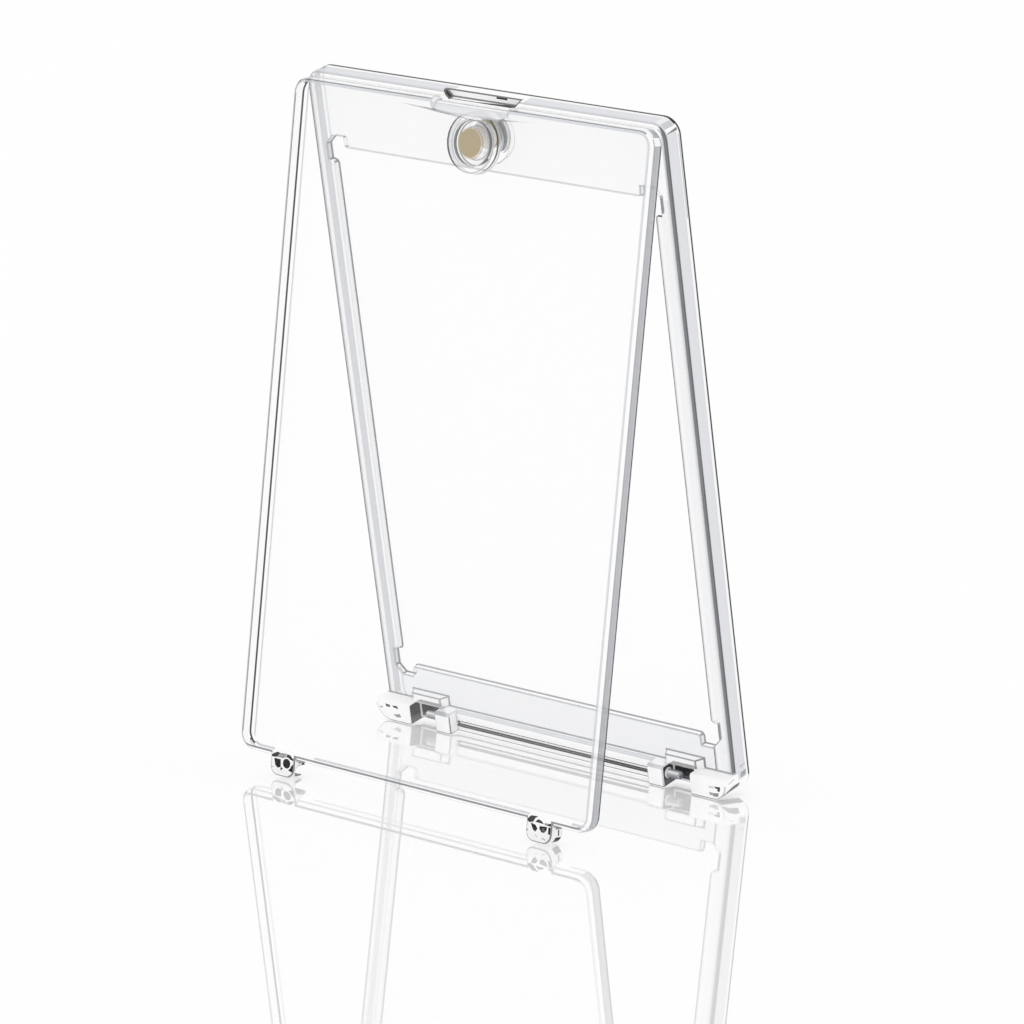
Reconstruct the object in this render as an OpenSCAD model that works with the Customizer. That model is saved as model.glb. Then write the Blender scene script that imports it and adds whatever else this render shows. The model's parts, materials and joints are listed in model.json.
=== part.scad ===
// Hinged display case for one trading card, shown unhooked and leaned up as a tent.
// A clear base shell holds the card in a shallow well. A clear cover shell closes over
// it, hooks onto two stub pins at the foot and is held at the head by a pair of magnets.

/* [Case] */
// Width across both shells
case_w = 72.6; // [70:0.2:90]
// Height of the base shell
case_h = 112; // [106:0.5:130]
// Radius of the outer corners of both shells
corner_r = 2.8; // [2:0.1:5]
// Bevel round the edges of the base shell and round the back of the cover shell
edge_bevel = 0.5; // [0.2:0.05:0.8]
// Bevel round the outer face of the cover shell
cover_bevel = 0.7; // [0.3:0.05:0.9]
// Thickness of the base shell behind its inner face
base_t = 4; // [3:0.1:6]
// Thickness of the cover shell
cover_t = 2.8; // [2.3:0.1:4]

/* [Card well] */
// Width of the card that the well holds
card_w = 63.5; // [58:0.5:64]
// Height of the card that the well holds
card_h = 88.9; // [80:0.1:90]
// Free space on each side of the card
card_clear = 0.65; // [0.3:0.05:0.8]
// Depth of the well below the inner face
well_depth = 1; // [0.5:0.1:1.8]
// Height of the well's lower edge above the foot of the case
well_rise = 9.3; // [8.5:0.1:11]
// Size of a corner relief along the well's short edge
relief_w = 3.6; // [2.5:0.1:5]
// Size of a corner relief along the well's long edge
relief_h = 4.3; // [3:0.1:7]
// How far a corner relief reaches past the well's long edge
relief_side = 1.2; // [0.6:0.1:1.6]
// How far a corner relief reaches past the well's short edge
relief_end = 1.8; // [1:0.1:2.4]
// Corner cut of a relief
relief_cut = 1.4; // [0.3:0.1:1.8]
// Radius of the corners where a relief meets the well's edges
relief_r = 0.6; // [0.2:0.1:0.6]

/* [Hinge] */
// Height of the bar along the foot of the base shell
bar_h = 3.6; // [3.4:0.1:5]
// Bevel along the bar's upper front edge
bar_bevel = 0.3; // [0.1:0.05:0.5]
// Distance from the side of the case to the middle of a hinge
hinge_inset = 9.8; // [8.5:0.1:20]
// Width of a hinge lug on the cover shell
lug_w = 5; // [4:0.1:7]
// How far a hinge lug hangs below the cover shell
lug_drop = 2.95; // [2.7:0.05:3.2]
// Radius of the lower corners of a lug
lug_r = 1.6; // [0.6:0.1:1.9]
// Diameter of a stub pin
pin_d = 1.4; // [1:0.1:1.5]
// Length of a stub pin
pin_len = 2.6; // [1.5:0.1:3.5]
// Height of the stub pins above the foot of the case
pin_rise = 2.05; // [1.95:0.05:2.2]
// Free space round a stub pin in its lug
pin_clear = 0.1; // [0.08:0.01:0.15]
// Free space at each side of a lug in its pocket
lug_clear = 0.2; // [0.1:0.05:0.4]
// Width of the block between a pocket and the rail
block_w = 3.2; // [2:0.1:5]
// Depth of the rail between the two inner blocks
rail_proud = 1; // [0.6:0.1:1.8]
// Height of the groove along the rail
groove_h = 0.7; // [0.3:0.1:1]
// Depth of the groove along the rail
groove_depth = 0.45; // [0.2:0.05:0.6]
// Height of the groove's lower edge above the foot of the case
groove_rise = 1; // [0.6:0.1:1.8]
// Width of the housing above a pocket
housing_w = 7.6; // [6:0.1:9]
// Height of the housing above the bar
housing_h = 1.7; // [1:0.1:2.2]
// Depth of the housing in front of the inner face
housing_proud = 1.5; // [0.8:0.1:1.7]

/* [Magnets] */
// Diameter of a magnet
magnet_d = 5; // [4:0.1:6]
// Thickness of a magnet
magnet_t = 1.5; // [1:0.1:1.6]
// Distance from the top of the case to the middle of a magnet
magnet_down = 6.4; // [6:0.1:8]
// Free space round a magnet in its seat
magnet_clear = 0.05; // [0.02:0.01:0.1]
// How far a magnet lies below the inner face
magnet_recess = 0.1; // [0.05:0.05:0.3]
// Diameter of the boss round a magnet
boss_d = 7.2; // [6.8:0.1:7.6]
// Diameter of the ring groove round the boss
ring_d = 9.4; // [8.4:0.1:10]
// Depth of the ring groove
ring_depth = 1.7; // [1:0.1:1.8]

/* [Thumb notch] */
// Width of the thumb notch at the top of the case
notch_w = 15.2; // [10:0.2:22]
// Height of the sloped scoop on the cover shell
scoop_h = 2.1; // [1.4:0.1:2.1]
// Depth of the sloped scoop on the cover shell
scoop_depth = 1.6; // [1:0.1:1.8]
// Radius of the lower corners of the scoop
scoop_r = 1.4; // [0.6:0.1:2]
// How far the cover's lip behind the scoop lies below its top edge
lip_drop = 0.6; // [0.3:0.1:1]
// Height of the slit cut into the base shell
slit_h = 1.2; // [0.6:0.1:1.5]
// Depth of the slit cut into the base shell
slit_depth = 1; // [0.5:0.1:1.6]
// Corner cut at both ends of the slit
slit_cut = 1.2; // [0.4:0.1:2]

/* [Stand] */
// Angle between the two shells as they stand
fold_angle = 18; // [12:0.5:24]
// How far the cover's top edge comes to rest below the top of the base shell
rest_drop = 0.9; // [0.7:0.05:2]

/* [Fits] */
// Free space between the inner faces of the closed case
face_gap = 0.1; // [0.05:0.01:0.2]
// Free space between the closed cover and the bar and housings
seat_clear = 0.15; // [0.1:0.01:0.25]

/* [Hidden] */
$fn = 64;
// Few facets on the tiny roundings, so that the well stays open in collision
relief_facets = 8;
eps = 0.01;
over = 1;
clear_tint = [0.84, 0.88, 0.91, 0.5];
magnet_tint = [0.69, 0.65, 0.52];

// Both shells are drawn in one flat frame, as the closed case lies on its back:
// x across the case, y from the foot to the top, z out of the base's inner face.
well_w = card_w + 2 * card_clear;
well_h = card_h + 2 * card_clear;
front_z = face_gap + cover_t;
cover_foot = bar_h + seat_clear;
lug_foot = cover_foot - lug_drop;
hinge_x = case_w / 2 - hinge_inset;
pocket_w = lug_w + 2 * lug_clear;
pin_z = face_gap + cover_t / 2;
pin_bore_d = pin_d + 2 * pin_clear;
magnet_y = case_h - magnet_down;
magnet_seat_d = magnet_d + 2 * magnet_clear;
magnet_seat_depth = magnet_t + magnet_recess;

// The cover swings between closed and standing about one line across the case,
// which carries its top back edge straight down the base's face by rest_drop.
pole_y = case_h - rest_drop / 2;
pole_z = face_gap + rest_drop / 2 / tan(fold_angle / 2);
function folded(p) = [
    pole_y + (p.x - pole_y) * cos(fold_angle) + (p.y - pole_z) * sin(fold_angle),
    pole_z - (p.x - pole_y) * sin(fold_angle) + (p.y - pole_z) * cos(fold_angle)
];

// Standing, the bar's front edge and the lugs' back edges rest on the ground.
base_foot = [0, front_z];
cover_rest = folded([lug_foot, face_gap]);
lean = atan2(cover_rest.x - base_foot.x, cover_rest.y - base_foot.y);
function standing(p) = [-p.x * sin(lean) - p.y * cos(lean), p.x * cos(lean) - p.y * sin(lean)];
ground = standing(base_foot).y;
front_reach = standing(folded([lug_foot, front_z])).x;
back_reach = standing([edge_bevel, -base_t]).x;
middle = (front_reach + back_reach) / 2;
pole = standing([pole_y, pole_z]) - [middle, ground];
echo(pole = pole, lean = lean, cover_lean = fold_angle - lean);

module stand_base() {
    translate([0, -middle, -ground])
        rotate([90 + lean, 0, 0])
            children();
}

module stand_cover() {
    stand_base()
        translate([0, pole_y, pole_z])
            rotate([-fold_angle, 0, 0])
                translate([0, -pole_y, -pole_z])
                    children();
}

module both_sides() {
    children();
    mirror([1, 0, 0])
        children();
}

// Rounded rectangle that stands on the x axis
module face_outline(w, h, r) {
    translate([-w / 2, r])
        square([w, h - 2 * r]);
    translate([-w / 2 + r, 0])
        square([w - 2 * r, h]);
    for (x = [-w / 2 + r, w / 2 - r], y = [r, h - r])
        translate([x, y])
            circle(r);
}

// Stretch of a bar across the case, from x0 to x1, with its profile drawn in y and z
module bar_stretch(x0, x1, profile) {
    translate([x0, 0, 0])
        rotate([90, 0, 90])
            linear_extrude(x1 - x0)
                polygon(profile);
}

// Plate with rounded corners and bevelled edges on both faces, from z = 0 up to t,
// with its own bevel round the upper face
module shell_plate(w, h, t, upper_bevel) {
    b = edge_bevel;
    u = upper_bevel;
    r = corner_r;
    function bevelled(low, high) = [
        [low + b, 0], [high - b, 0], [high, b], [high, t - u],
        [high - u, t], [low + u, t], [low, t - u], [low, b]
    ];
    for (x = [-w / 2 + r, w / 2 - r], y = [r, h - r])
        translate([x, y, 0])
            rotate_extrude()
                polygon([[0, 0], [r - b, 0], [r, b], [r, t - u], [r - u, t], [0, t]]);
    bar_stretch(-w / 2 + r, w / 2 - r, bevelled(0, h));
    translate([0, h - r, 0])
        rotate([90, 0, 0])
            linear_extrude(h - 2 * r)
                polygon(bevelled(-w / 2, w / 2));
}

// What a rounded corner leaves out of a square one, left above the origin
module corner_rounding(r) {
    difference() {
        translate([-r, -eps])
            square([r + eps, r + eps]);
        translate([-r, r])
            circle(r, $fn = relief_facets);
    }
}

// Upper right corner relief of the card well, about the well's corner
module relief_outline() {
    polygon([
        [relief_side - relief_w, -eps],
        [relief_side - relief_w, relief_end],
        [relief_side - relief_cut, relief_end],
        [relief_side, relief_end - relief_cut],
        [relief_side, relief_end - relief_h],
        [-eps, relief_end - relief_h],
        [-eps, -eps]
    ]);
    translate([relief_side - relief_w, 0])
        corner_rounding(relief_r);
    translate([0, relief_end - relief_h])
        rotate(180)
            corner_rounding(relief_r);
}

module well_outline() {
    translate([-well_w / 2, well_rise])
        square([well_w, well_h]);
    both_sides() {
        translate([well_w / 2, well_rise + well_h])
            relief_outline();
        translate([well_w / 2, well_rise])
            mirror([0, 1])
                relief_outline();
    }
}

// Seat for a magnet and the ring groove round it, cut down from z = 0
module magnet_cut() {
    translate([0, magnet_y, -magnet_seat_depth])
        cylinder(h = magnet_seat_depth + over, d = magnet_seat_d);
    translate([0, magnet_y, -ring_depth])
        difference() {
            cylinder(h = ring_depth + over, d = ring_d);
            translate([0, 0, -eps])
                cylinder(h = ring_depth + over + 2 * eps, d = boss_d);
        }
}

module magnet_disc() {
    translate([0, magnet_y, -magnet_seat_depth])
        cylinder(h = magnet_t, d = magnet_d);
}

// Outline of the slit in the base shell, with sloped ends, open at the top
module slit_outline() {
    polygon([
        [-notch_w / 2, over],
        [-notch_w / 2, 0],
        [-notch_w / 2 + slit_cut, -slit_h],
        [notch_w / 2 - slit_cut, -slit_h],
        [notch_w / 2, 0],
        [notch_w / 2, over]
    ]);
}

// Sloped scoop in the cover's outer face, with rounded lower corners, which leaves a
// lowered lip at the back
module cover_scoop() {
    scoop_profile = [
        [-scoop_h, 0],
        [-lip_drop, -scoop_depth],
        [-lip_drop, -cover_t - over],
        [over, -cover_t - over],
        [over, over],
        [-scoop_h, over]
    ];
    intersection() {
        bar_stretch(-notch_w / 2, notch_w / 2, scoop_profile);
        translate([0, 0, -cover_t - over])
            linear_extrude(cover_t + 2 * over)
                translate([0, -scoop_h])
                    face_outline(notch_w, scoop_h + scoop_r + over, scoop_r);
    }
}

// Bar along the foot of the base shell: outer blocks, pockets, inner blocks and rail
module hinge_bar() {
    block_profile = [
        [0, -edge_bevel],
        [bar_h, -edge_bevel],
        [bar_h, front_z - bar_bevel],
        [bar_h - bar_bevel, front_z],
        [0, front_z]
    ];
    rail_profile = [
        [0, -edge_bevel],
        [bar_h, -edge_bevel],
        [bar_h, rail_proud - bar_bevel],
        [bar_h - bar_bevel, rail_proud],
        [groove_rise + groove_h, rail_proud],
        [groove_rise + groove_h, rail_proud - groove_depth],
        [groove_rise, rail_proud - groove_depth],
        [groove_rise, rail_proud],
        [0, rail_proud]
    ];
    rail_end = hinge_x - pocket_w / 2 - block_w;
    intersection() {
        translate([0, 0, -edge_bevel])
            linear_extrude(edge_bevel + front_z + over)
                face_outline(case_w, case_h, corner_r);
        union() {
            both_sides() {
                bar_stretch(hinge_x + pocket_w / 2, case_w / 2 + over, block_profile);
                bar_stretch(rail_end, rail_end + block_w, block_profile);
            }
            bar_stretch(-rail_end, rail_end, rail_profile);
        }
    }
}

module stub_pin() {
    translate([hinge_x - pocket_w / 2 - eps, pin_rise, pin_z])
        rotate([0, 90, 0])
            cylinder(h = pin_len + eps, d = pin_d);
}

// Low housing on the inner face above a pocket, with sloped ends
module housing() {
    translate([hinge_x, 0, 0])
        rotate([90, 0, 0])
            translate([0, 0, -bar_h - housing_h])
                linear_extrude(housing_h)
                    polygon([
                        [-housing_w / 2, -eps],
                        [housing_w / 2, -eps],
                        [housing_w / 2, 0],
                        [housing_w / 2 - housing_proud / 2, housing_proud],
                        [-housing_w / 2 + housing_proud / 2, housing_proud],
                        [-housing_w / 2, 0]
                    ]);
}

module base_shell() {
    color(clear_tint)
        stand_base()
            difference() {
                union() {
                    translate([0, 0, -base_t])
                        shell_plate(case_w, case_h, base_t, edge_bevel);
                    hinge_bar();
                    both_sides() {
                        stub_pin();
                        housing();
                    }
                }
                translate([0, 0, -well_depth])
                    linear_extrude(well_depth + over)
                        well_outline();
                magnet_cut();
                translate([0, case_h, -slit_depth])
                    linear_extrude(slit_depth + over)
                        slit_outline();
            }
}

module base_magnet() {
    color(magnet_tint)
        stand_base()
            magnet_disc();
}

// Lug with rounded lower corners, bored for its stub pin and open at the back
module hinge_lug() {
    difference() {
        translate([hinge_x, lug_foot, face_gap])
            linear_extrude(cover_t) {
                translate([-lug_w / 2, lug_r])
                    square([lug_w, lug_drop + corner_r - lug_r]);
                translate([-lug_w / 2 + lug_r, 0])
                    square([lug_w - 2 * lug_r, lug_drop]);
                for (x = [-lug_w / 2 + lug_r, lug_w / 2 - lug_r])
                    translate([x, lug_r])
                        circle(lug_r);
            }
        translate([hinge_x - lug_w / 2 - over, pin_rise, pin_z])
            rotate([0, 90, 0])
                cylinder(h = pin_len + over + pin_clear, d = pin_bore_d);
        translate([hinge_x - lug_w / 2 - over, pin_rise - pin_bore_d / 2, face_gap - over])
            cube([pin_len + over + pin_clear, pin_bore_d, pin_z - face_gap + over]);
    }
}

// Room in the cover's back for a housing of the base shell
module housing_room() {
    room_w = housing_w + 2 * lug_clear;
    translate([hinge_x - room_w / 2, bar_h - seat_clear, face_gap - over])
        cube([room_w, housing_h + 2 * seat_clear, housing_proud + seat_clear - face_gap + over]);
}

module cover_shell() {
    color(clear_tint)
        stand_cover()
            difference() {
                union() {
                    translate([0, cover_foot, face_gap])
                        shell_plate(case_w, case_h - cover_foot, cover_t, cover_bevel);
                    both_sides()
                        hinge_lug();
                }
                both_sides()
                    housing_room();
                translate([0, 0, face_gap])
                    mirror([0, 0, 1])
                        magnet_cut();
                translate([0, case_h, front_z])
                    cover_scoop();
            }
}

module cover_magnet() {
    color(magnet_tint)
        stand_cover()
            translate([0, 0, face_gap])
                mirror([0, 0, 1])
                    magnet_disc();
}

base_shell();
base_magnet();
cover_shell();
cover_magnet();
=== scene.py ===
import json
import math

import bmesh
import bpy
from mathutils import Matrix, Vector


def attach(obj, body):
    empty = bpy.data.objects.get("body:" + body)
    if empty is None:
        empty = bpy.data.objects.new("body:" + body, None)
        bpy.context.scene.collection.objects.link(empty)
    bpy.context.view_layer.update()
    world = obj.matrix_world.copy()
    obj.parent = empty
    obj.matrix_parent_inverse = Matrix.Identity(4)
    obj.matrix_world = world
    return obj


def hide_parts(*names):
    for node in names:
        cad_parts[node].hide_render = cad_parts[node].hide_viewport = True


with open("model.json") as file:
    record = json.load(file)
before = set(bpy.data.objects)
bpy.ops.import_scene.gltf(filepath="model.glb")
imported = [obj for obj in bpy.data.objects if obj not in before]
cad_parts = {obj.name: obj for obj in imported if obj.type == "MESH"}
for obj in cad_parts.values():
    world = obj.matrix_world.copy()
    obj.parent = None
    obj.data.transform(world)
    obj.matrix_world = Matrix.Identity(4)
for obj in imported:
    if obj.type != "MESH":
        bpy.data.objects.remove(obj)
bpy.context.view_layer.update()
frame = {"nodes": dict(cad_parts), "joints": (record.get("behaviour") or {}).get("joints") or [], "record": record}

MM = 0.001

# ---------------------------------------------------------------------------
# The flat frame. Both shells were drawn as the closed case lies on its back: x across
# the case, y from its foot to its top, z out of the base shell's inner face, in mm.
# ---------------------------------------------------------------------------
WELL_DEPTH = 1.0
WELL_MIDDLE = 54.4
WELL = next(mount for mount in frame["record"]["mounts"] if mount["name"] == "card_well")
WELL_SPOT = Vector(WELL["pos_m"])
OUT = Vector(WELL["axis"])
ACROSS = Vector((1.0, 0.0, 0.0))
UP = OUT.cross(ACROSS)
SWING = frame["joints"][0]
POLE = Matrix.Translation(Vector(SWING["pos_m"]))
CLOSE = POLE @ Matrix.Rotation(math.radians(SWING["range_deg"][1]), 4, "X") @ POLE.inverted()

CASE_TOP = 112.0
SIDE_X = 36.3
CORNER = 2.9
BASE_BACK = -4.0
BEVEL = 0.5
COVER_BACK = 0.1
COVER_FRONT = 2.9
COVER_BEVEL = 0.7
COVER_FOOT = 3.75
BAR_TOP = 3.6
HINGE_X = 26.5
LUG_HALF = 2.5
POCKET_HALF = 2.7
BLOCK_W = 3.2
RAIL_PROUD = 1.0
HOUSING_HALF = 4.2
HOUSING_TOP = 5.3
NOTCH_HALF = 7.6
MAGNET_Y = 105.6
MAGNET_R = 2.5
BOSS_R = 3.6
RING_R = 4.7


def flat_place(point, body):
    """A point of the standing case, in the flat frame."""
    point = CLOSE @ point if body == "cover" else point
    off = (point - WELL_SPOT) / MM
    return Vector((off.x, off.dot(UP) + WELL_MIDDLE, off.dot(OUT) - WELL_DEPTH))


def flat_way(way, body):
    """A direction of the standing case, in the flat frame."""
    way = CLOSE.to_3x3() @ way if body == "cover" else way
    return Vector((way.x, way.dot(UP), way.dot(OUT)))


# ---------------------------------------------------------------------------
# Camera: it looks at TARGET from DISTANCE away, along the photograph's viewing angle.
# ---------------------------------------------------------------------------
TARGET = Vector((4.408, 0.0, 44.928)) * MM
DISTANCE = 892.65 * MM
AZIMUTH = math.radians(39.94)
ELEVATION = math.radians(15.15)
ROLL = math.radians(-0.32)
SENSOR = 36.0
FOCAL_PX = 5696.7
IMAGE_PX = 1024.0
CLIP_START = 0.05
CLIP_END = 20.0


def make_camera():
    right = Vector((math.cos(AZIMUTH), math.sin(AZIMUTH), 0.0))
    ahead = Vector((-math.sin(AZIMUTH) * math.cos(ELEVATION),
                    math.cos(AZIMUTH) * math.cos(ELEVATION),
                    -math.sin(ELEVATION)))
    up = right.cross(ahead)
    turned_right = right * math.cos(ROLL) + up * math.sin(ROLL)
    turned_up = up * math.cos(ROLL) - right * math.sin(ROLL)
    axes = Matrix((turned_right, turned_up, -ahead)).transposed()
    data = bpy.data.cameras.new("camera")
    data.sensor_width = SENSOR
    data.lens = FOCAL_PX / IMAGE_PX * SENSOR
    data.clip_start = CLIP_START
    data.clip_end = CLIP_END
    camera = bpy.data.objects.new("camera", data)
    bpy.context.scene.collection.objects.link(camera)
    camera.matrix_world = Matrix.Translation(TARGET - ahead * DISTANCE) @ axes.to_4x4()
    bpy.context.scene.camera = camera


# ---------------------------------------------------------------------------
# Shader helpers
# ---------------------------------------------------------------------------
def connect(tree, socket, value):
    """Link the value to the socket, or write a plain value there."""
    if isinstance(value, bpy.types.NodeSocket):
        tree.links.new(value, socket)
    else:
        socket.default_value = value


def node(tree, kind, **sockets):
    """A new shader node, with the named input sockets set or linked."""
    made = tree.nodes.new(kind)
    for name, value in sockets.items():
        connect(tree, made.inputs[name.replace("_", " ")], value)
    return made


def math_node(tree, operation, *values):
    made = tree.nodes.new("ShaderNodeMath")
    made.operation = operation
    for socket, value in zip(made.inputs, values):
        connect(tree, socket, value)
    return made.outputs[0]


def mixed(tree, kind, share, first, second):
    """A colour or a number between the first and the second value."""
    made = tree.nodes.new("ShaderNodeMix")
    made.data_type = kind
    sockets = [socket for socket in made.inputs if socket.enabled]
    for socket, value in zip(sockets, (share, first, second)):
        connect(tree, socket, value)
    return next(socket for socket in made.outputs if socket.enabled)


def mixed_shader(tree, share, first, second):
    made = node(tree, "ShaderNodeMixShader", Fac=share)
    for socket, shader in zip(made.inputs[1:], (first, second)):
        tree.links.new(shader.outputs[0], socket)
    return made


def attribute(tree, name):
    made = tree.nodes.new("ShaderNodeAttribute")
    made.attribute_name = name
    return made.outputs["Vector"]


def new_material(name):
    material = bpy.data.materials.new(name)
    material.use_nodes = True
    material.node_tree.nodes.clear()
    return material, material.node_tree


# ---------------------------------------------------------------------------
# Studio: white all round, over a floor that mirrors a little and keeps a faint shadow
# ---------------------------------------------------------------------------
WHITE = (1, 1, 1, 1)
SKY = (0.991, 0.991, 0.991, 1)
FLOOR_RADIUS = 6.0
FLOOR_SIDES = 96
FLOOR_DROP = 0.05 * MM
FLOOR_SHADOW = 0.5
FLOOR_GLOSS = 0.42
FLOOR_ROUGHNESS = 0.02


def make_world():
    world = bpy.data.worlds.new("studio")
    bpy.context.scene.world = world
    world.use_nodes = True
    tree = world.node_tree
    tree.nodes.clear()
    light = node(tree, "ShaderNodeBackground", Color=SKY, Strength=1.0)
    node(tree, "ShaderNodeOutputWorld", Surface=light.outputs[0])


def make_floor():
    bpy.ops.mesh.primitive_circle_add(vertices=FLOOR_SIDES, radius=FLOOR_RADIUS, fill_type="NGON")
    floor = bpy.context.object
    floor.name = "floor"
    floor.location.z = -FLOOR_DROP
    material, tree = new_material("glossy_floor")
    glow = node(tree, "ShaderNodeEmission", Color=WHITE, Strength=1.0)
    shaded = node(tree, "ShaderNodeBsdfDiffuse", Color=WHITE)
    white = mixed_shader(tree, FLOOR_SHADOW, glow, shaded)
    mirror = node(tree, "ShaderNodeBsdfGlossy", Color=WHITE, Roughness=FLOOR_ROUGHNESS)
    # The gloss sends no light to matt surfaces, so they see the white alone.
    diffuse = node(tree, "ShaderNodeLightPath").outputs["Is Diffuse Ray"]
    other = math_node(tree, "SUBTRACT", 1.0, diffuse)
    gloss = math_node(tree, "MULTIPLY", other, FLOOR_GLOSS)
    both = mixed_shader(tree, gloss, white, mirror)
    node(tree, "ShaderNodeOutputMaterial", Surface=both.outputs[0])
    floor.data.materials.append(material)


# ---------------------------------------------------------------------------
# Clear plastic. Each entry says how a surface of the moulding shows over white: its
# level, from 0 to 255, grey or in red, green and blue, and the share that it covers of
# what lies behind it. Most levels are painted light and shade, not the plastic's own
# colour. Grey and dark bands, dark lines along the edges, black in the recesses and
# white bands are painted where clear plastic shows them by refraction and reflection.
# Faces turned one way are painted lighter or darker than faces turned the other way.
# The gold and the white of the magnets are their own colours.
# ---------------------------------------------------------------------------
# The first colour is the magnets' own gold. The peach paints a pale highlight round the magnets' rims, the brown
# paints shade on the cover's boss wall, and the cream paints a highlight on the base's boss wall.
GOLD = (174, 158, 121)
PEACH_HIGHLIGHT = (238, 231, 221)
BROWN_SHADE = (104, 94, 92)
CREAM_HIGHLIGHT = (245, 239, 228)

IOR = 1.49
SHINE = 0.2
ROUGHNESS = 0.04
STREAK_PITCH = 0.05
STREAK_FINE = 2.2
UNEVEN = 0.04
COOL_SHARE = 0.12
COOL_MOST = 3.5
COOL_RED = 0.3


def seen(level):
    """The linear value of a displayed level from 0 to 255, by the sRGB curve."""
    share = level / 255
    return share / 12.92 if share < 0.04045 else ((share + 0.055) / 1.055) ** 2.4


def film(level, cover):
    """Colour and alpha of a film that shows this level over white. Dark greys are a
    little cool."""
    if isinstance(level, tuple):
        levels = level
    else:
        cool = min(COOL_MOST, COOL_SHARE * (255 - level))
        levels = (level - COOL_RED * cool, level, level + cool)
    return tuple(max(0.0, (seen(part) - 1 + cover) / cover) for part in levels) + (cover,)


def ramp(tree, value, stops):
    """Colour and alpha along value, from a list of (place from 0 to 1, film)."""
    made = node(tree, "ShaderNodeValToRGB", Fac=value)
    elements = made.color_ramp.elements
    elements.remove(elements[1])
    elements[0].position, elements[0].color = stops[0]
    for place, colour in stops[1:]:
        elements.new(place).color = colour
    return made.outputs["Color"], made.outputs["Alpha"]


def streaks(tree, place):
    """Fine streaks that run along the edges of a plate."""
    parts = node(tree, "ShaderNodeSeparateXYZ", Vector=place)
    run = math_node(tree, "ADD", parts.outputs["X"], parts.outputs["Y"])
    run = math_node(tree, "MULTIPLY", run, STREAK_PITCH)
    spread = math_node(tree, "MULTIPLY", parts.outputs["Z"], STREAK_FINE)
    spot = node(tree, "ShaderNodeCombineXYZ", X=run, Y=spread)
    noise = node(tree, "ShaderNodeTexNoise", Vector=spot.outputs[0], Scale=1.0, Detail=3.0)
    return noise.outputs["Fac"]


def in_outline(tree, across, up, corners):
    """1 inside the convex outline with these corners, else 0."""
    nexts = corners[1:] + corners[:1]
    turned = sum(a[0] * b[1] - b[0] * a[1] for a, b in zip(corners, nexts))
    corners = corners if turned > 0 else corners[::-1]
    inside = None
    for (u, v), (u_next, v_next) in zip(corners, corners[1:] + corners[:1]):
        run, rise = u_next - u, v_next - v
        off = math_node(tree, "MULTIPLY_ADD", across, -rise, rise * u - run * v)
        off = math_node(tree, "MULTIPLY_ADD", up, run, off)
        test = math_node(tree, "GREATER_THAN", off, 0.0)
        inside = test if inside is None else math_node(tree, "MULTIPLY", inside, test)
    return inside


def in_disc(tree, across, up, disc):
    """1 inside the circle, which is (middle, radius), else 0."""
    middle, radius = disc
    apart = [math_node(tree, "POWER", math_node(tree, "SUBTRACT", value, spot), 2.0)
             for value, spot in zip((across, up), middle)]
    return math_node(tree, "LESS_THAN", math_node(tree, "ADD", *apart), radius ** 2)


def clear_film_with_painted_light(name, axis, stops, wander=0.0, patches=()):
    """A clear film whose painted light and shade change along one axis of the flat frame.
    stops is a list of (place in mm, level, cover). wander shifts the pattern to and fro by
    that many mm. A patch, (two axes, outline, level, cover), takes the place of the films in
    its outline, which is a list of corners or a circle, (middle, radius). Patches paint shade,
    white and dark lines at set places."""
    material, tree = new_material(name)
    place = attribute(tree, "flat")
    parts = node(tree, "ShaderNodeSeparateXYZ", Vector=place).outputs
    drift = math_node(tree, "SUBTRACT", streaks(tree, place), 0.5)
    along = math_node(tree, "ADD", parts[axis], math_node(tree, "MULTIPLY", drift, wander))
    low = stops[0][0]
    high = max(stops[-1][0], low + 1.0)
    share = node(tree, "ShaderNodeMapRange", Value=along, From_Min=low, From_Max=high)
    films = [((spot - low) / (high - low), film(level, cover)) for spot, level, cover in stops]
    colour, alpha = ramp(tree, share.outputs["Result"], films)
    for axes, outline, level, cover in patches:
        within = in_outline if isinstance(outline, list) else in_disc
        inside = within(tree, parts[axes[0]], parts[axes[1]], outline)
        colour = mixed(tree, "RGBA", inside, colour, film(level, cover))
        alpha = mixed(tree, "FLOAT", inside, alpha, cover)
    uneven = node(tree, "ShaderNodeMapRange", Value=drift, From_Min=-0.5, From_Max=0.5,
                  To_Min=1 - UNEVEN, To_Max=1 + UNEVEN)
    alpha = math_node(tree, "MULTIPLY", alpha, uneven.outputs["Result"])
    alpha = math_node(tree, "MINIMUM", alpha, 1.0)
    plastic = node(tree, "ShaderNodeBsdfPrincipled", Base_Color=colour, Roughness=ROUGHNESS,
                   IOR=IOR, Specular_IOR_Level=SHINE, Alpha=alpha)
    node(tree, "ShaderNodeOutputMaterial", Surface=plastic.outputs[0])
    return material


def plain(level, cover=0.92):
    return "Z", [(0.0, level, cover)]


def box(low_across, high_across, low_up, high_up):
    return [(low_across, low_up), (high_across, low_up),
            (high_across, high_up), (low_across, high_up)]


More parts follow.
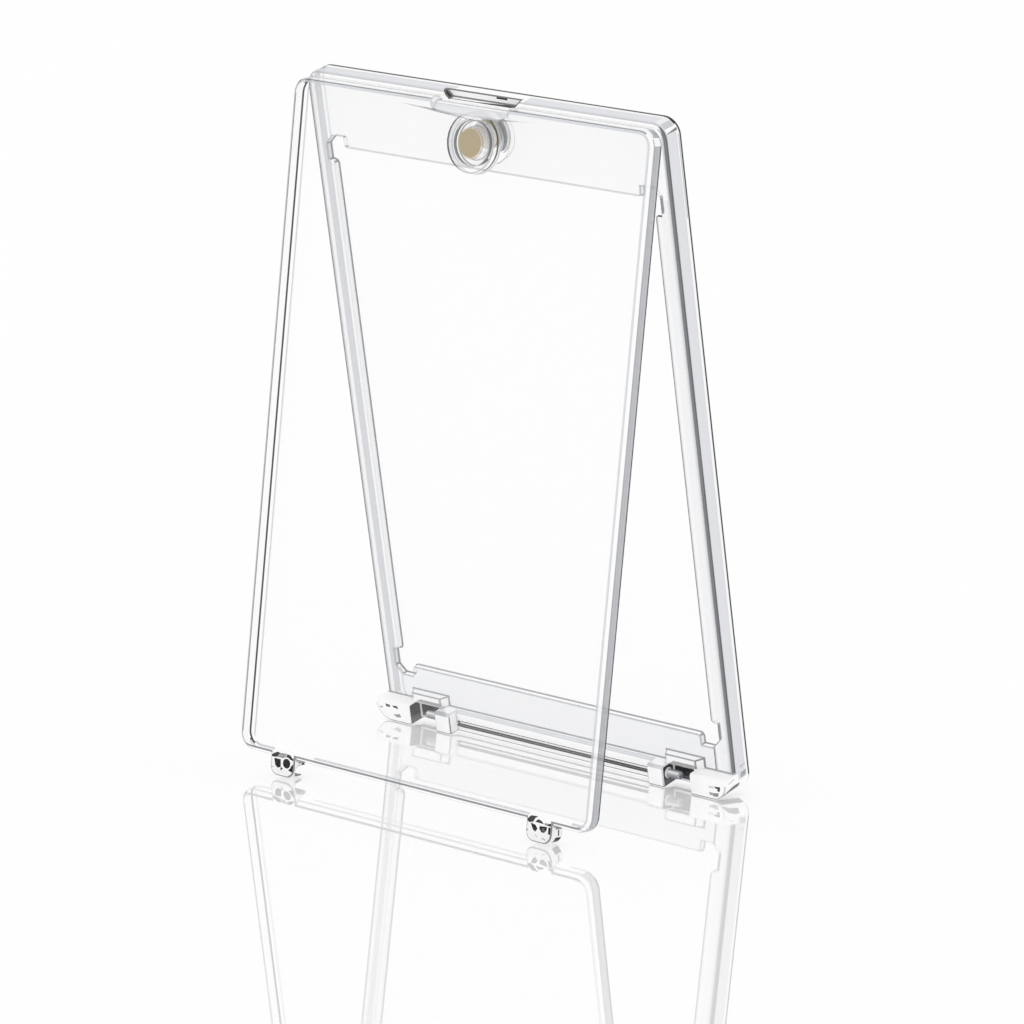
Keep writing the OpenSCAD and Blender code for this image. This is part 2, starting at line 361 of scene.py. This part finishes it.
# Painted patches on the hinge parts, the outer blocks and the base shell's right side. On the
# lugs they paint the dark shade that the bore and the slot show through the clear plastic, set
# in white. On the base's side they paint bands of shade and light. The grey and dark patches
# on the outer blocks' fronts and at the foot are painted too.
LEFT_LUG = [
    ("XY", box(-29.2, -23.9, 0.0, 3.8), 253, 0.9),
    ("XY", [(-29.1, 3.62), (-28.5, 4.25), (-27.7, 4.6), (-27.1, 4.55), (-27.75, 3.75)], 40, 0.95),
    ("XY", [(-27.1, 4.55), (-25.6, 4.65), (-26.15, 3.95), (-27.75, 3.75)], 160, 0.95),
    ("XY", [(-25.55, 4.6), (-24.9, 4.5), (-24.25, 3.9), (-24.3, 3.7), (-25.85, 4.15)], 60, 0.95),
    ("XY", [(-28.3, 3.5), (-26.9, 3.52), (-26.78, 2.3), (-27.4, 2.05), (-27.95, 2.4)], 50, 0.95),
    ("XY", [(-24.05, 3.35), (-23.97, 2.0), (-24.35, 1.8), (-25.3, 2.1)], 45, 0.95),
    ("XY", [(-26.78, 2.3), (-26.3, 2.15), (-26.8, 1.7)], 30, 0.95),
    ("XY", ((-25.6, 3.05), 1.02), 254, 0.95),
    ("XY", ((-25.6, 3.05), 0.78), 62, 0.95),
    ("XY", box(-28.9, -28.3, 1.95, 2.1), 190, 0.9),
    ("XY", box(-25.0, -24.7, 1.1, 1.3), 205, 0.9),
]
RIGHT_LUG = [
    ("XY", box(23.9, 29.2, 0.0, 3.8), 253, 0.9),
    ("XY", [(23.95, 4.0), (24.8, 4.8), (26.2, 4.9), (25.4, 4.0), (24.6, 3.65)], 50, 0.95),
    ("XY", ((26.5, 3.75), 1.1), 254, 0.95),
    ("XY", [(25.7, 3.95), (26.25, 4.5), (26.9, 4.35), (27.5, 3.9)], 75, 0.95),
    ("XY", [(24.85, 3.65), (25.8, 3.5), (26.3, 2.95), (25.85, 2.4), (25.35, 2.7)], 50, 0.95),
    ("XY", [(26.6, 3.45), (28.1, 3.6), (28.05, 3.05), (27.6, 2.55), (27.1, 2.55),
            (26.65, 2.95)], 60, 0.95),
    ("XY", ((27.4, 3.0), 0.32), 110, 0.95),
    ("XY", [(28.2, 3.95), (28.9, 4.35), (28.85, 3.9), (28.5, 3.75)], 45, 0.95),
    ("XY", box(28.4, 28.85, 2.5, 3.6), 20, 0.95),
    ("XY", box(24.15, 24.4, 2.3, 2.6), 170, 0.9),
    ("XY", [(25.9, 1.95), (26.4, 1.75), (26.35, 1.65), (25.85, 1.85)], 165, 0.9),
    ("XY", [(27.3, 1.75), (28.0, 1.55), (27.95, 1.42), (27.25, 1.62)], 150, 0.9),
]
# Painted shade on the lugs' sides.
LEFT_LUG_SIDE = [
    ("YZ", [(3.4, 1.05), (3.3, 0.45), (1.43, 0.62), (1.48, 1.12)], 35, 0.95),
    ("YZ", [(1.48, 1.14), (1.43, 0.6), (0.72, 1.65), (0.86, 2.45)], 35, 0.95),
]
RIGHT_LUG_SIDE = [
    ("YZ", [(3.2, 1.24), (3.1, 0.92), (1.8, 0.84), (1.84, 1.14)], 85, 0.95),
    ("YZ", [(1.06, 2.25), (1.32, 1.35), (1.15, 1.3), (0.9, 2.2)], 105, 0.95),
]
# Grey and dark patches painted on the outer blocks' fronts.
BLOCK_FRONTS = [
    ("XY", [(33.0, 2.3), (34.0, 2.4), (34.0, 2.05), (33.0, 1.95)], 214, 0.95),
    ("XY", [(34.1, 2.4), (35.3, 2.5), (35.25, 2.15), (34.4, 2.05)], 60, 0.95),
    ("XY", [(34.9, 2.2), (35.27, 2.25), (35.1, 1.6), (34.6, 1.75)], 60, 0.95),
    ("XY", [(33.0, 1.25), (33.8, 1.2), (33.7, 0.75), (33.0, 0.75)], 170, 0.95),
    ("XY", [(33.8, 1.2), (34.9, 1.4), (34.7, 0.7), (33.7, 0.6)], 150, 0.95),
    ("XY", [(-35.7, 2.2), (-35.0, 2.35), (-35.0, 2.05), (-35.6, 1.9)], 175, 0.95),
    ("XY", [(-34.4, 2.9), (-33.4, 2.85), (-33.3, 2.45), (-34.2, 2.4)], 70, 0.95),
    ("XY", [(-32.9, 2.85), (-31.8, 2.9), (-31.6, 2.4), (-32.6, 2.5)], 60, 0.95),
    ("XY", [(-32.9, 1.2), (-31.4, 1.55), (-31.2, 1.0), (-32.0, 0.8)], 150, 0.95),
]
# Grey and dark patches painted at the foot, with a dark band along the bottom edge.
FOOT_MARKS = [
    ("YZ", [(1.6, 1.85), (1.95, 0.4), (1.9, -1.05), (1.1, -0.95), (1.0, 1.25)], 105, 0.95),
    ("YZ", [(1.6, 1.9), (1.0, 1.2), (0.6, 2.7), (0.9, 2.8)], 125, 0.95),
    ("YZ", [(2.7, 1.9), (3.0, 0.4), (3.15, 0.4), (2.85, 1.9)], 180, 0.9),
    ("YZ", box(-0.1, 0.5, -3.5, 2.9), 70, 0.95),
]
FOOT_WHITE = ("YZ", box(0.0, 3.6, -0.6, 2.9), 254, 0.9)
# Painted bands of shade and light on the base's right side, near its foot and near its top, with the white and the
# patches of the foot.
SIDE_MARKS = [
    ("YZ", [(4.25, -1.15), (4.72, -1.3), (4.82, -2.6), (4.35, -2.55)], 200, 0.9),
    ("YZ", [(2.6, -1.15), (3.5, -1.3), (3.55, -2.7), (2.7, -2.55)], 168, 0.9),
    ("YZ", [(1.6, -1.1), (1.85, -1.1), (1.9, -3.0), (1.7, -3.0)], 190, 0.9),
    FOOT_WHITE,
    *FOOT_MARKS,
    ("YZ", box(110.95, 111.7, -2.7, -0.5), 205, 0.8),
    ("YZ", box(110.3, 110.9, -3.0, -0.5), 252, 0.8),
    ("YZ", [(110.2, -0.5), (110.3, -0.5), (110.6, -2.9), (110.2, -2.9)], 130, 0.85),
    ("YZ", box(96.0, 109.6, -3.0, -2.75), 195, 0.8),
]

# name: (axis, stops, wander, patches)
COLOURS_AND_PAINTED_LIGHT = {
    "open": plain(254.9, 0.04),
    # The cover's front is clear, with the lugs' painted shade and a dark line painted along its left edge.
    "cover_face": ("Y", [(96.0, 254.9, 0.04), (99.0, 254.5, 0.06), (112.0, 254.5, 0.06)], 0.0,
        LEFT_LUG + RIGHT_LUG + [("XY", box(-35.7, -35.3, 6.5, 109.2), 95, 0.9)]),
    # Grey lines painted near both side edges of the cover's back.
    "cover_back": ("X", [(-35.55, 254.6, 0.05), (-35.5, 205, 0.7), (-35.2, 205, 0.7),
                         (-35.15, 254.6, 0.05), (35.2, 254.6, 0.05), (35.3, 220, 0.6),
                         (35.5, 220, 0.6), (35.55, 254.6, 0.05)]),
    # The margin: a dark line painted at the well's right edge, and painted shade towards the case's right edge.
    # The top and bottom margins are a little grey.
    "margin": ("X", [(-35.8, 254, 0.3), (-32.9, 245, 0.25), (-32.6, 252, 0.3),
                     (-32.3, 248, 0.15), (32.3, 248, 0.15), (32.36, 95, 0.9),
                     (32.66, 110, 0.9), (32.8, 250, 0.5), (33.5, 250, 0.4), (33.7, 244, 0.25),
                     (34.9, 244, 0.25), (35.2, 232, 0.5), (35.8, 150, 0.8)], 0.0, [
        ("XY", box(-35.2, 35.2, 99.7, 111.2), 251, 0.2),
        ("XY", box(-34.0, 35.2, 111.0, 112.0), 253, 0.6),
        ("XY", box(-32.4, 32.4, 0.0, 9.3), 243, 0.2),
    ]),
    # The base's sides: painted shade and light. The right side is darker, with a near-black band painted at its
    # back edge.
    "base_right": ("Z", [(-3.5, 25, 0.95), (-3.12, 45, 0.95), (-3.04, 250, 0.7),
                         (-2.6, 250, 0.7), (-2.45, 222, 0.7), (-1.6, 226, 0.6),
                         (-0.6, 225, 0.6)], 0.1, SIDE_MARKS),
    "base_left": ("Z", [(-3.5, 214, 0.6), (-1.9, 211, 0.6), (-1.75, 253, 0.6),
                        (-1.15, 253, 0.6), (-1.0, 190, 0.85), (-0.5, 120, 0.92)], 0.1,
        [FOOT_WHITE]),
    # The base's top: black painted at the back edge, and painted grey shade over the rest.
    "base_top": ("Z", [(-3.5, 0, 0.98), (-2.88, 0, 0.98), (-2.8, 252, 0.6), (-2.4, 250, 0.6),
                       (-2.1, 222, 0.6), (-0.9, 225, 0.6), (-0.6, 224, 0.6)], 0.15, [
        ("XZ", box(-6.0, 8.4, -2.8, 0.0), 254, 0.85),
        ("XZ", box(34.0, 34.9, -2.9, -0.5), 240, 0.7),
        ("XZ", box(34.9, 36.4, -2.7, -0.5), 205, 0.8),
    ]),
    # Bevels: the right one is painted darker than the top one, as painted shade.
    "right_bevel": ("Z", [(-0.5, 228, 0.7), (-0.36, 215, 0.8), (-0.3, 100, 0.92),
                          (-0.1, 125, 0.92), (0.0, 145, 0.85)]),
    "top_bevel": ("Z", [(-0.5, 218, 0.6), (-0.3, 210, 0.7), (-0.14, 205, 0.7),
                        (-0.08, 252, 0.6), (0.0, 253, 0.6)]),
    "pale_bevel": plain(250, 0.4),
    "left_back": ("Z", [(-4.0, 238, 0.5), (-3.7, 238, 0.5), (-3.5, 220, 0.5)]),
    "well_left": plain(240, 0.4),
    # The cover's sides and bevels: dark bands painted at the back of the right side, and dark bands and lines
    # painted on the left side.
    "cover_right": ("Z", [(0.6, 40, 0.95), (0.85, 80, 0.95), (1.0, 182, 0.8), (1.2, 198, 0.75),
                          (1.6, 192, 0.75), (2.0, 188, 0.8), (2.2, 182, 0.8)], 0.2, [
        ("YZ", box(109.6, 110.8, 0.8, 2.2), 250, 0.85),
        ("YZ", box(110.8, 111.7, 0.8, 2.2), 178, 0.85),
    ]),
    "cover_left": ("Z", [(0.6, 254.9, 0.2), (1.95, 254.9, 0.2), (2.0, 90, 0.9), (2.2, 70, 0.9)]),
    "cover_left_bevel": ("Z", [(2.2, 254.5, 0.3), (2.4, 60, 0.93), (2.75, 60, 0.93),
                               (2.9, 180, 0.6)]),
    "cover_left_back": ("Z", [(0.1, 253, 0.5), (0.24, 253, 0.5), (0.26, 30, 0.95),
                              (0.5, 30, 0.95), (0.52, 252, 0.5), (0.6, 252, 0.5)]),
    "cover_top": plain(251, 0.6),
    "cover_top_bevel": ("Z", [(2.2, 249, 0.6), (2.48, 246, 0.6), (2.56, 162, 0.8),
                              (2.68, 156, 0.8), (2.75, 240, 0.6), (2.83, 238, 0.6),
                              (2.88, 200, 0.7), (2.9, 200, 0.7)], 0.06),
    # White films. They also paint the light on the back bevels and sides that are turned to the right.
    "white": plain(254, 0.75),
    "solid_white": plain(255, 0.95),
    "lug": plain(254, 0.9),
    # Painted shade on the lugs' sides and in their slots, and black painted along the notch's slit.
    "left_lug_side": ("Z", [(0.0, 254, 0.9)], 0.0, LEFT_LUG_SIDE),
    "right_lug_side": ("Z", [(0.0, 254, 0.9)], 0.0, RIGHT_LUG_SIDE),
    "lug_slot": ("Z", [(1.6, 40, 0.95), (1.7, 254, 0.9)]),
    "slit_line": ("X", [(-7.6, 70, 0.85), (0.0, 50, 0.92), (3.5, 5, 0.97), (7.6, 5, 0.97)]),
    # The grey and dark patches painted at the foot and on the outer blocks' fronts.
    "foot_side": ("Z", [(0.0, 254, 0.9)], 0.0, FOOT_MARKS),
    "block_front": ("Z", [(0.0, 255, 0.95)], 0.0, BLOCK_FRONTS),
    # Painted shade: black in the hinge pockets and in the notch's slit. The pins get painted shading with a
    # painted highlight.
    "pocket": ("Y", [(0.5, 105, 0.95), (1.3, 90, 0.95), (1.4, 25, 0.97), (3.6, 10, 0.97)]),
    "pin": ("Y", [(1.4, 110, 0.95), (2.2, 170, 0.95), (2.6, 245, 0.95), (2.75, 150, 0.95)]),
    "dark": plain(20, 0.97),
    "slit_back": ("X", [(-6.4, 254, 0.9), (8.0, 254, 0.9)], 0.0, [
        ("XY", box(2.4, 4.6, 111.5, 112.0), 15, 0.97),
    ]),
    "slit_floor": ("Z", [(0.0, 254, 0.9)], 0.0, [
        ("XZ", [(-2.0, -0.1), (7.0, -0.1), (7.0, -1.0), (5.0, -0.85)], 8, 0.97),
    ]),
    # The scoop: painted grey shading across its slope.
    "scoop": ("Y", [(109.9, 250, 0.6), (110.2, 238, 0.7), (110.8, 230, 0.8), (111.0, 218, 0.8),
                    (111.1, 253, 0.85), (111.4, 254, 0.9)]),
    # Around the magnet seats: brown and dark bands painted as shade on the boss and ring walls, different on the
    # right and left sides. On its right side, the base's boss wall gets a painted highlight and then painted
    # shade.
    "boss_right": ("Z", [(0.1, 255, 0.05), (0.68, 255, 0.05), (0.74, BROWN_SHADE, 0.95),
                         (1.22, BROWN_SHADE, 0.95), (1.28, 222, 0.3), (1.8, 222, 0.3)], 0.05, [
        ("YZ", box(101.0, 103.5, 0.1, 1.1), 60, 0.95),
    ]),
    "boss_left": ("Z", [(0.1, 250, 0.1), (0.6, 250, 0.1), (0.7, 100, 0.85), (1.35, 150, 0.8),
                        (1.45, 255, 0.05), (1.8, 255, 0.05)], 0.1),
    "ring_right": ("Z", [(0.1, 255, 0.05), (0.45, 255, 0.05), (0.5, 60, 0.93),
                         (0.85, 60, 0.93), (0.9, 255, 0.05), (1.8, 255, 0.05)], 0.05),
    "ring_left": ("Z", [(0.1, 248, 0.2), (1.2, 228, 0.3), (1.3, 60, 0.93), (1.8, 60, 0.93)], 0.05),
    "base_boss": ("Z", [(-1.7, CREAM_HIGHLIGHT, 0.4), (-1.2, CREAM_HIGHLIGHT, 0.4), (-1.1, 140, 0.9),
                        (-0.1, 112, 0.9)], 0.1),
    "base_boss_white": plain(255, 0.05),
    "silver": plain(255, 0.05),
    # The magnets: the gold and the white are their own colours. The peach ring round the gold, on the walls and
    # along the rims is a painted highlight.
    "gold": ("Z", [(0.0, 255, 0.2)], 0.0, [
        ("XY", ((0.0, MAGNET_Y), 2.36), PEACH_HIGHLIGHT, 0.97),
        ("XY", ((-0.06, MAGNET_Y), 2.26), GOLD, 1.0),
    ]),
    "magnet_white": plain(255, 0.05),
    "magnet_inner": plain(255, 0.9),
    "magnet_wall": ("Z", [(0.2, PEACH_HIGHLIGHT, 0.35), (0.4, PEACH_HIGHLIGHT, 0.35), (0.45, 255, 0.1),
                          (1.7, 255, 0.1)]),
    "magnet_rim": plain(PEACH_HIGHLIGHT, 0.25),
    # The roundings along edges: dark lines painted at these levels, as the shade that clear plastic shows along
    # its edges.
    "line_20": plain(20),
    "line_70": plain(70),
    "line_100": plain(100),
    "line_130": plain(130),
    "line_150": plain(150),
    "line_175": plain(175),
    "line_200": plain(200, 0.8),
    "line_225": plain(222, 0.7),
}
ORDER = list(COLOURS_AND_PAINTED_LIGHT)

# ---------------------------------------------------------------------------
# Which face gets which painted look. Faces are told apart by their place and direction, and
# the roundings along edges by their place. Faces and roundings turned to one side get lighter
# or darker paint than those turned to the other, as painted light and shade.
# ---------------------------------------------------------------------------
# The share of a unit direction along an axis, from which a face is square to the axis,
# faces along it or leans along it, and under which it slopes or is edge-on to it
SQUARE = 0.99
FACING = 0.9
LEANING = 0.4
SLOPING = 0.2
EDGE_ON = 0.1
# The share upward, or to the right, at which a rounded corner changes its painted shade
BASE_TURN = 0.6
COVER_TURN = 0.7
RIGHT_TURN = 0.3

# Slack, in mm
NIP = 0.02
HAIR = 0.05
SLACK = 0.1
STEP = 0.2
ROUND = 0.3
REACH = 0.4

# Limits between neighbouring forms, in mm
BLOCKS_IN = HINGE_X - POCKET_HALF - BLOCK_W
SEAT_REACH = 3.0
GROOVE_MIDDLE = 4.0
GROOVE_HALF_DEPTH = 1.0
GROOVE_SIDE = 2.0
BOSS_WHITE_X = 2.6
PIN_LOW, PIN_HIGH = 1.3, 2.8
PIN_BACK, PIN_FRONT = 0.8, 2.3
SLOT_LOW = 1.0
SLOT_FRONT = 2.6
SLIT_DOWN = 1.3
SLIT_BACK = 1.1
SLIT_INSIDE = 0.8
SCOOP_DOWN = 2.5
RAIL_LOW, RAIL_HIGH = 0.8, 1.9
ROOM_TOP = 5.6
ROOM_DEPTH = 2.0
HOUSING_SIDE = 3.0
COVER_MIDDLE = 1.5
FOOT_BAND = 1.0
SIDE_BAND = 1.2
SIDE_EDGE = 0.6
OUTER_BAND = 1.0
RIGHT_BAND = 2.5
RIGHT_WELL_X = 31.0
LEFT_WELL_X = -30.0
WELL_LOW, WELL_HIGH = 12.0, 98.0


def from_magnet(place):
    return math.hypot(place.x, place.y - MAGNET_Y)


def from_hinge(place):
    return abs(abs(place.x) - HINGE_X)


def in_notch(place):
    return abs(place.x) < NOTCH_HALF + REACH


def base_painted_look(place, way):
    """The painted look of a face of the base shell, by its place and direction in the flat frame."""
    x, y, z = place
    hinge = from_hinge(place)
    ring = from_magnet(place)
    if abs(x) > SIDE_X - NIP and abs(way.x) > SQUARE:
        return "base_right" if x > 0 else "base_left"
    if ring < RING_R + ROUND and z < -HAIR:
        if SEAT_REACH < ring < BOSS_R + ROUND and abs(way.z) < EDGE_ON and x > 0:
            return "base_boss" if x > BOSS_WHITE_X else "base_boss_white"
        return "open"
    if y > CASE_TOP - SLIT_DOWN and in_notch(place) and z > -SLIT_BACK:
        return "slit_back" if way.z > LEANING else "slit_floor" if way.y > FACING else "dark"
    if z < BASE_BACK + BEVEL and abs(way.z) < FACING:
        # Back bevels turned to the right are painted white, and those turned to the left a painted grey shade.
        return "white" if way.x > LEANING else "left_back" if way.x < -LEANING else "open"
    at_foot = y < CORNER and abs(x) > SIDE_X - CORNER
    if at_foot and z > -BEVEL and way.x > EDGE_ON and abs(way.z) < SLOPING:
        return "foot_side"
    if hinge < POCKET_HALF + SLACK and y < BAR_TOP and z > -BEVEL - SLACK:
        inside = hinge < POCKET_HALF - HAIR
        at_pin = PIN_LOW < y < PIN_HIGH and PIN_BACK < z < PIN_FRONT
        round_pin = at_pin and abs(abs(way.x) - 1) > NIP
        return "pin" if inside and (round_pin or abs(way.x) > FACING) else "pocket"
    if y < BAR_TOP + SLACK and z > -BEVEL:
        if abs(x) < BLOCKS_IN + HAIR:
            low_front = way.z > FACING and z < RAIL_PROUD - SLACK
            return "pale_bevel" if low_front else "white"
        if SLOPING < way.y < FACING and abs(x) < HINGE_X:
            return "line_200"
        return "block_front" if way.z > FACING else "solid_white"
    if HOUSING_TOP + SLACK > y > BAR_TOP and hinge < HOUSING_HALF and z > HAIR:
        return "white" if way.x > LEANING else "pale_bevel"
    if -BEVEL < z < 0.0 and SLOPING < way.z < FACING:
        return "right_bevel" if way.x > LEANING else "top_bevel" if way.y > LEANING else "open"
    at_outline = abs(x) > SIDE_X - CORNER or y > CASE_TOP - CORNER or y < CORNER
    if at_outline and z < -BEVEL and abs(way.z) < SLOPING:
        if way.y > BASE_TURN:
            return "base_top"
        if way.x > SLOPING:
            return "base_right"
        return "base_left" if way.x < -SLOPING else "white"
    if abs(z) < HAIR and way.z > FACING:
        return "margin"
    if -WELL_DEPTH < z < 0 and abs(way.z) < EDGE_ON:
        return "well_left" if way.x > LEANING else "open"
    return "open"


def cover_painted_look(place, way):
    """The same for the cover shell."""
    x, y, z = place
    hinge = from_hinge(place)
    ring = from_magnet(place)
    side = "right" if x > 0 else "left"
    in_shell = COVER_BACK + HAIR < z < COVER_FRONT - ROUND
    if ring < RING_R + ROUND and in_shell and abs(way.z) < EDGE_ON:
        if ring > BOSS_R + ROUND:
            return "ring_" + side
        return "boss_" + side if ring > SEAT_REACH else "silver"
    if y < COVER_FOOT - HAIR:
        inside = hinge < LUG_HALF - SLACK
        if inside and ROUND < z < SLOT_FRONT and y > SLOT_LOW:
            return "lug_slot"
        return side + "_lug_side" if way.x > SQUARE and not inside else "lug"
    if z < COVER_BACK + BEVEL and abs(way.z) < FACING:
        # Back bevels turned to the right are painted white, and those turned to the left carry a painted dark
        # band.
        return "white" if way.x > LEANING else "cover_left_back" if way.x < -LEANING else "open"
    if y > CASE_TOP - SCOOP_DOWN and in_notch(place) and STEP < z < COVER_FRONT - NIP:
        return "scoop"
    if z > COVER_FRONT - COVER_BEVEL and SLOPING < way.z < FACING:
        if way.x < -LEANING:
            return "cover_left_bevel"
        return "white" if way.x > LEANING else "cover_top_bevel" if way.y > LEANING else "open"
    at_outline = abs(x) > SIDE_X - CORNER or y > CASE_TOP - CORNER
    if at_outline and abs(way.z) < SLOPING:
        if way.x > RIGHT_TURN:
            return "cover_right"
        return "cover_top" if way.y > COVER_TURN else "cover_left"
    if way.z > FACING:
        return "cover_face"
    return "cover_back" if way.z < -FACING and z < COVER_BACK + HAIR else "open"


def magnet_colour_and_painted_light(place, way):
    in_cover = place.z > 0
    if abs(way.z) < LEANING:
        return "magnet_wall" if in_cover else "magnet_white"
    if (way.z > 0) == in_cover:
        return "gold"
    return "magnet_white" if in_cover else "magnet_inner"


def cover_line(place):
    """The painted look of the rounding along an edge of the cover's pieces."""
    x, y, z = place
    hinge = from_hinge(place)
    ring = from_magnet(place)
    at_left = x < -SIDE_X + SIDE_EDGE
    if ring < MAGNET_R + NIP:
        return "magnet_rim"
    if ring < RING_R + REACH and z < COVER_FRONT - ROUND:
        front = z > GROOVE_HALF_DEPTH
        if ring > GROOVE_MIDDLE:
            return ("line_70" if x < -GROOVE_SIDE else "line_200") if front else "line_225"
        return "line_225" if x > 0 or front else "line_200"
    if y < COVER_FOOT - STEP:
        return "line_150"
    if y < ROOM_TOP and hinge < HOUSING_HALF and z < ROOM_DEPTH:
        return "open"
    if y < COVER_FOOT + FOOT_BAND:
        if z > COVER_FRONT - ROUND:
            return "line_150"
        return "line_200" if z > COVER_MIDDLE else "line_225"
    if y > CASE_TOP - SCOOP_DOWN and in_notch(place):
        return "line_225"
    if z > COVER_FRONT - ROUND:
        left_front = x < -SIDE_X + SIDE_BAND and y < CASE_TOP - SIDE_BAND
        return "line_200" if left_front else "line_225"
    if z > COVER_FRONT - COVER_BEVEL - ROUND:
        return "line_70" if at_left else "cover_right" if x > SIDE_X - SIDE_EDGE else "cover_top"
    if z > COVER_BACK + ROUND:
        return "cover_left" if at_left else "line_70"
    return "open"


def foot_line(place):
    """The same for the base shell's bar, with its rail and blocks."""
    x, y, z = place
    if y < ROUND:
        return "line_100"
    if abs(x) < BLOCKS_IN + SLACK:
        if RAIL_LOW < y < RAIL_HIGH:
            return "line_70"
        return "line_175" if z < ROUND else "line_225"
    if abs(x) > SIDE_X - BLOCK_W and y < CORNER and z > COVER_FRONT - REACH:
        return "line_130" if x < 0 else "line_225"
    if z < ROUND and from_hinge(place) > POCKET_HALF:
        return "line_175"
    return "line_225" if abs(x) < HINGE_X else "solid_white"


def base_line(place):
    """The same for the rest of the base's pieces."""
    x, y, z = place
    ring = from_magnet(place)
    straight = WELL_LOW < y < WELL_HIGH
    under_top = y < CASE_TOP - OUTER_BAND
    if ring < MAGNET_R + NIP:
        return "magnet_rim"
    if ring < RING_R + REACH:
        return "line_200" if x > GROOVE_SIDE else "open"
    if y < BAR_TOP + ROUND and z > -ROUND:
        return foot_line(place)
    if BAR_TOP < y < HOUSING_TOP + ROUND and from_hinge(place) < HOUSING_HALF and z > -STEP:
        return "line_150" if x > HINGE_X + HOUSING_SIDE else "line_175"
    if y > CASE_TOP - SLIT_DOWN - STEP and in_notch(place) and z > -SLIT_BACK - STEP:
        return "line_130" if z < -SLIT_INSIDE else "slit_line"
    if abs(x) > SIDE_X - OUTER_BAND or not under_top:
        at_right = x > SIDE_X - OUTER_BAND and under_top
        if z > -BEVEL / 2:
            return "line_130" if at_right else "open"
        if z > -BEVEL - ROUND:
            if x > SIDE_X - SIDE_EDGE and under_top:
                return "base_right"
            return "line_100" if x < 0 and under_top else "base_top"
        shown = x > SIDE_X - RIGHT_BAND or not under_top
        return "line_20" if z > BASE_BACK + BEVEL / 2 and shown else "open"
    if -BEVEL / 2 < z < SLACK:
        if x < LEFT_WELL_X and straight:
            return "pale_bevel"
        return "line_70" if x > RIGHT_WELL_X and straight else "line_200"
    if z > -WELL_DEPTH - ROUND:
        if x < LEFT_WELL_X:
            return "line_150"
        return "open" if WELL_LOW <= y <= WELL_HIGH else "line_175"
    return "open"


# ---------------------------------------------------------------------------
# The pieces, with every sharp edge rounded a little, as a moulding has it
# ---------------------------------------------------------------------------
LINES = {"base": base_line, "cover": cover_line}
WELD = 0.02 * MM
FLAT_ANGLE = math.radians(0.3)
SHARP_ANGLE = math.radians(24.0)
EDGE_RADIUS = 0.2 * MM
EDGE_SEGMENTS = 2
NORMAL_WEIGHT = 100
# A magnet has a little air in its seat, so that no two faces lie in one plane.
MAGNET_SHARE = 0.985


def shrink(bm, share):
    middle = sum((vert.co for vert in bm.verts), Vector()) / len(bm.verts)
    bmesh.ops.scale(bm, vec=Vector.Fill(3, share), space=Matrix.Translation(-middle),
                    verts=bm.verts)


def round_edges(bm):
    """Round the sharp edges and give back the new faces."""
    sharp = [e for e in bm.edges if e.is_manifold and e.calc_face_angle(0.0) > SHARP_ANGLE]
    made = bmesh.ops.bevel(bm, geom=sharp, offset=EDGE_RADIUS, offset_type="OFFSET",
                           segments=EDGE_SEGMENTS, profile=0.5, affect="EDGES",
                           clamp_overlap=False, material=0)
    return made["faces"]


def moulded(name, body, painted_look, materials, slot="clear_plastic"):
    """The piece that takes the place of the node: its edges rounded, its faces given their painted looks."""
    bm = bmesh.new()
    bm.from_mesh(frame["nodes"][name].data)
    bmesh.ops.remove_doubles(bm, verts=bm.verts, dist=WELD)
    bmesh.ops.dissolve_limit(bm, angle_limit=FLAT_ANGLE, verts=bm.verts, edges=bm.edges)
    if slot == "magnet_plating":
        shrink(bm, MAGNET_SHARE)
    for face in bm.faces:
        place = flat_place(face.calc_center_median(), body)
        face.material_index = ORDER.index(painted_look(place, flat_way(face.normal, body)))
    for face in round_edges(bm):
        place = flat_place(face.calc_center_median(), body)
        face.material_index = ORDER.index(LINES[body](place))
    for face in bm.faces:
        face.smooth = True
    shell = bpy.data.meshes.new(name + "_moulded")
    bm.to_mesh(shell)
    bm.free()
    flat = shell.attributes.new("flat", "FLOAT_VECTOR", "POINT")
    for index, vertex in enumerate(shell.vertices):
        flat.data[index].vector = flat_place(vertex.co, body)
    piece = bpy.data.objects.new(name + "_moulded", shell)
    bpy.context.scene.collection.objects.link(piece)
    for material in materials:
        shell.materials.append(material)
    weighted = piece.modifiers.new("flat_faces", "WEIGHTED_NORMAL")
    weighted.weight = NORMAL_WEIGHT
    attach(piece, body)
    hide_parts(name)


make_camera()
make_world()
make_floor()
plastics = [clear_film_with_painted_light(name, *painted_look) for name, painted_look in COLOURS_AND_PAINTED_LIGHT.items()]
moulded("base_shell", "base", base_painted_look, plastics)
moulded("cover_shell", "cover", cover_painted_look, plastics)
moulded("base_magnet", "base", magnet_colour_and_painted_light, plastics, "magnet_plating")
moulded("cover_magnet", "cover", magnet_colour_and_painted_light, plastics, "magnet_plating")

# The renderer follows a ray through all the films that lie one behind the other.
MOST_FILMS = 64
scene = bpy.context.scene
scene.view_settings.view_transform = "Standard"
scene.cycles.transparent_max_bounces = MOST_FILMS
